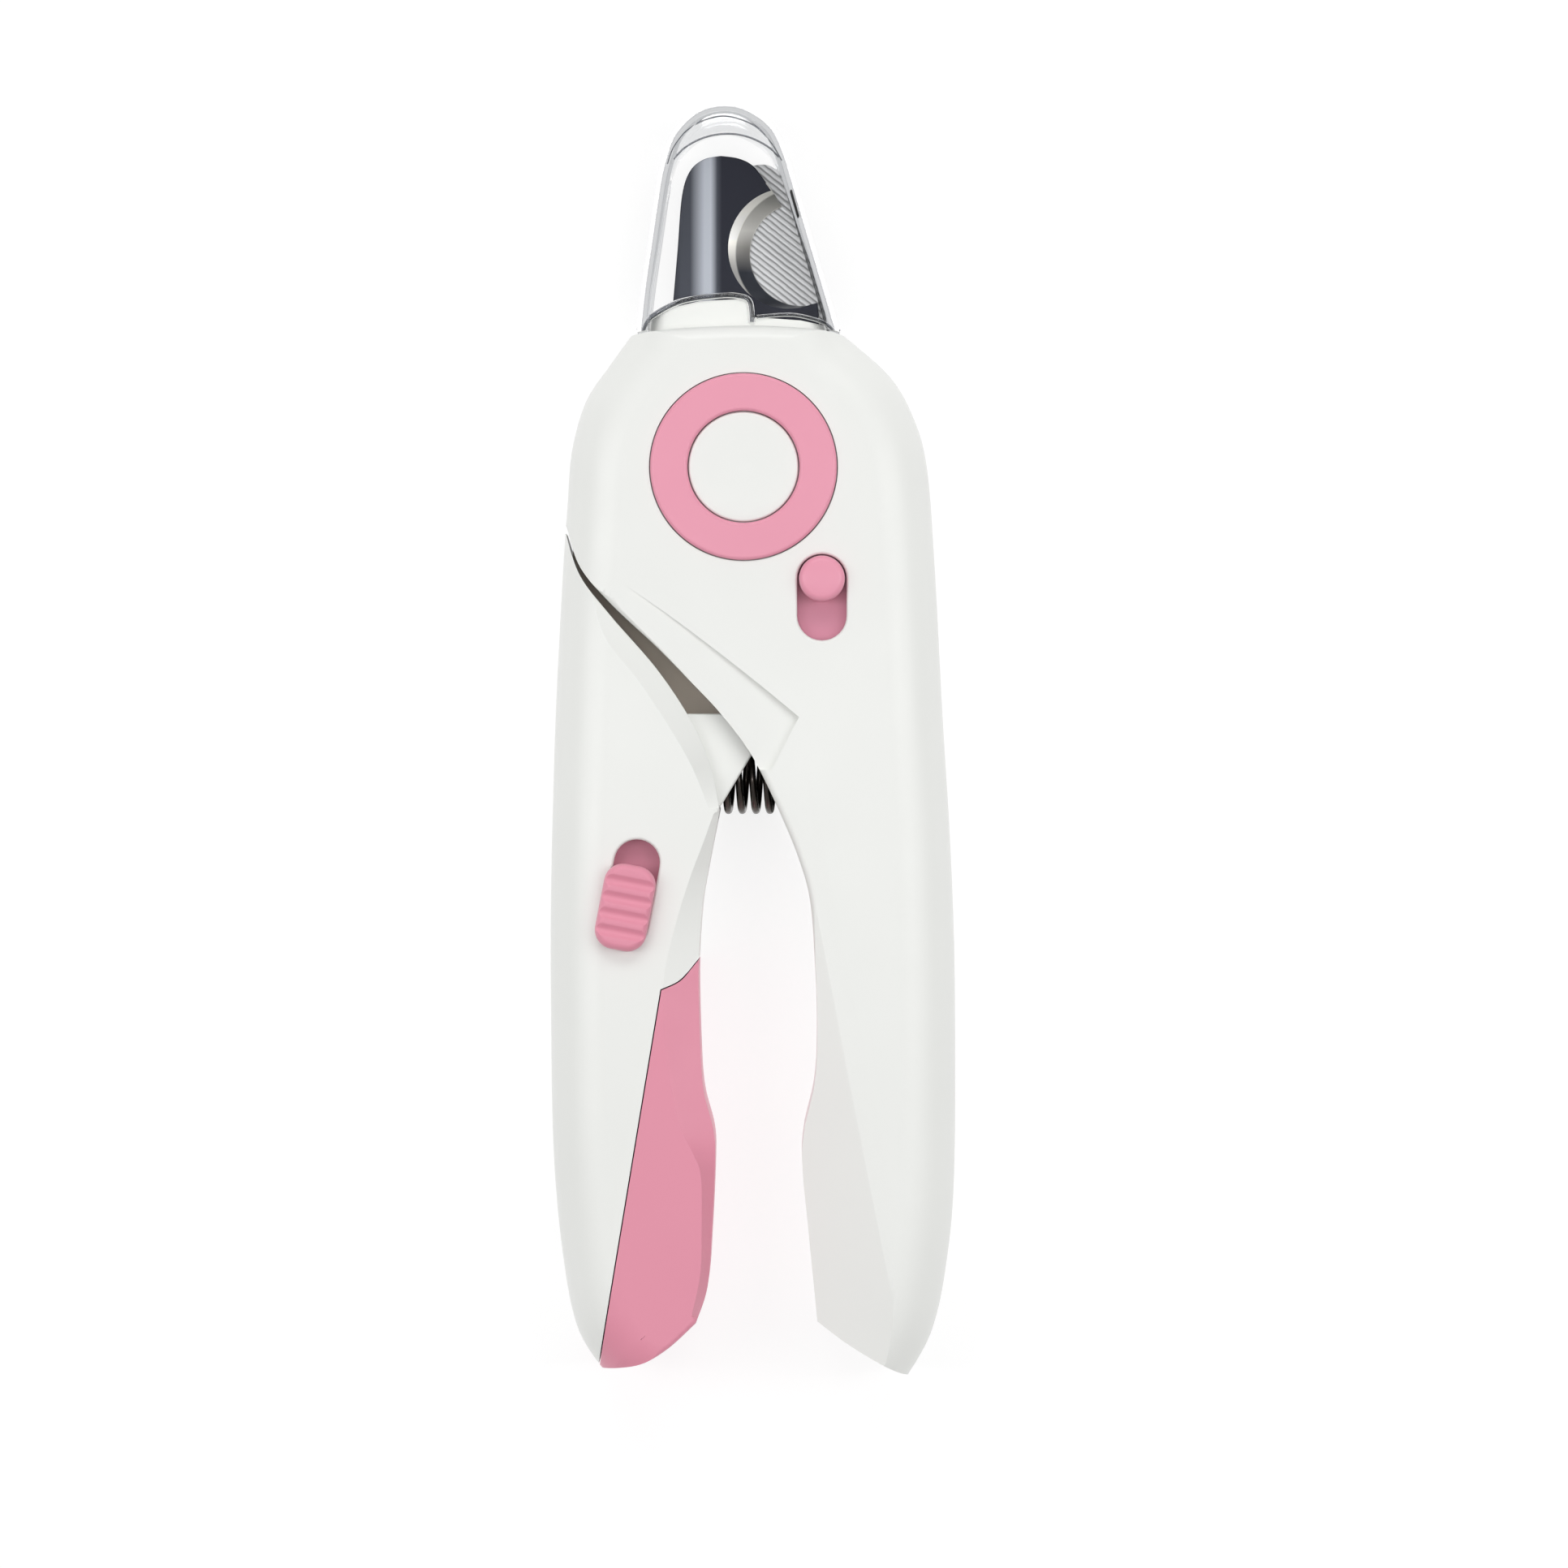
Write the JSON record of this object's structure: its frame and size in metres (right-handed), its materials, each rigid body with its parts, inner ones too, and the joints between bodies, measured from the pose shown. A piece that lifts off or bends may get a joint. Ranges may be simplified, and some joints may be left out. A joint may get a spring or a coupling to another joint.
{
  "type": "scissor pet nail clipper",
  "caption": "Scissor pet nail clipper with rounded white handles, pink grip and trim, notched crossing blades, slide lock, lamp switch and a clear pull-off blade cover.",
  "frame": {"origin": "on the blade pivot's axis, in the plane of the flat back that the clipper rests on", "axes": "+Z out of the front face, +Y along the tool towards the blades, +X to the right as seen from the front"},
  "size_m": [0.0462, 0.1453, 0.0228],
  "materials": {
    "white_shell": "satin off-white moulding",
    "pink_trim": "satin pink moulding",
    "grip_rubber": "soft satin pink grip",
    "dark_blade": "polished dark coated steel with a bright ground bevel",
    "ground_steel": "ground steel with fine diagonal lines",
    "fasteners": "plain zinc-coated steel",
    "spring_steel": "dark oiled spring steel",
    "clear_cover": "clear polished plastic",
    "lamp_lens": "clear lens",
    "board_green": "green board",
    "black_parts": "black moulding",
    "contact_brass": "sprung brass strip",
    "cell_case": "coin cell case"
  },
  "bodies": {
    "body": {"housing_front": "white_shell", "housing_back": "white_shell", "pivot_cap": "white_shell", "pivot_ring": "pink_trim", "fixed_blade": "dark_blade", "pivot_pin": "fasteners", "pivot_washer": "fasteners", "pivot_nut": "fasteners", "return_spring": "spring_steel", "housing_screw_1": "fasteners", "housing_screw_2": "fasteners", "housing_screw_3": "fasteners", "housing_screw_4": "fasteners", "housing_screw_5": "fasteners"},
    "lever": {"lever_front": "white_shell", "lever_back": "white_shell", "grip_insert": "grip_rubber", "moving_blade": "ground_steel", "switch_body": "black_parts", "circuit_board": "board_green", "coin_cell_lower": "cell_case", "coin_cell_upper": "cell_case", "battery_contact": "contact_brass", "battery_door": "white_shell", "battery_door_screw": "fasteners", "led": "lamp_lens", "blade_rivet_1": "fasteners", "blade_rivet_2": "fasteners", "lever_screw_1": "fasteners", "lever_screw_2": "fasteners", "lever_screw_3": "fasteners"},
    "light_switch": {"light_slider": "pink_trim"},
    "lock": {"lock_knob": "pink_trim", "lock_bolt": "fasteners"},
    "cover": {"blade_cover": "clear_cover"}
  },
  "joints": [
    {"name": "lever_pivot", "type": "hinge", "parent": "body", "child": "lever", "pos_m": [0, 0, 0.01], "axis": [0, 0, -1], "range_deg": [0, 16], "deforming": ["return_spring"]},
    {"name": "lock_slide", "type": "slide", "parent": "body", "child": "lock", "axis": [0, -1, 0], "range_m": [0, 0.0042]},
    {"name": "light_slide", "type": "slide", "parent": "lever", "child": "light_switch", "axis": [0.1908, 0.9816, 0], "range_m": [0, 0.0035]},
    {"name": "cover_slide", "type": "slide", "parent": "body", "child": "cover", "axis": [0, 1, 0], "range_m": [0, 0.03]}
  ]
}
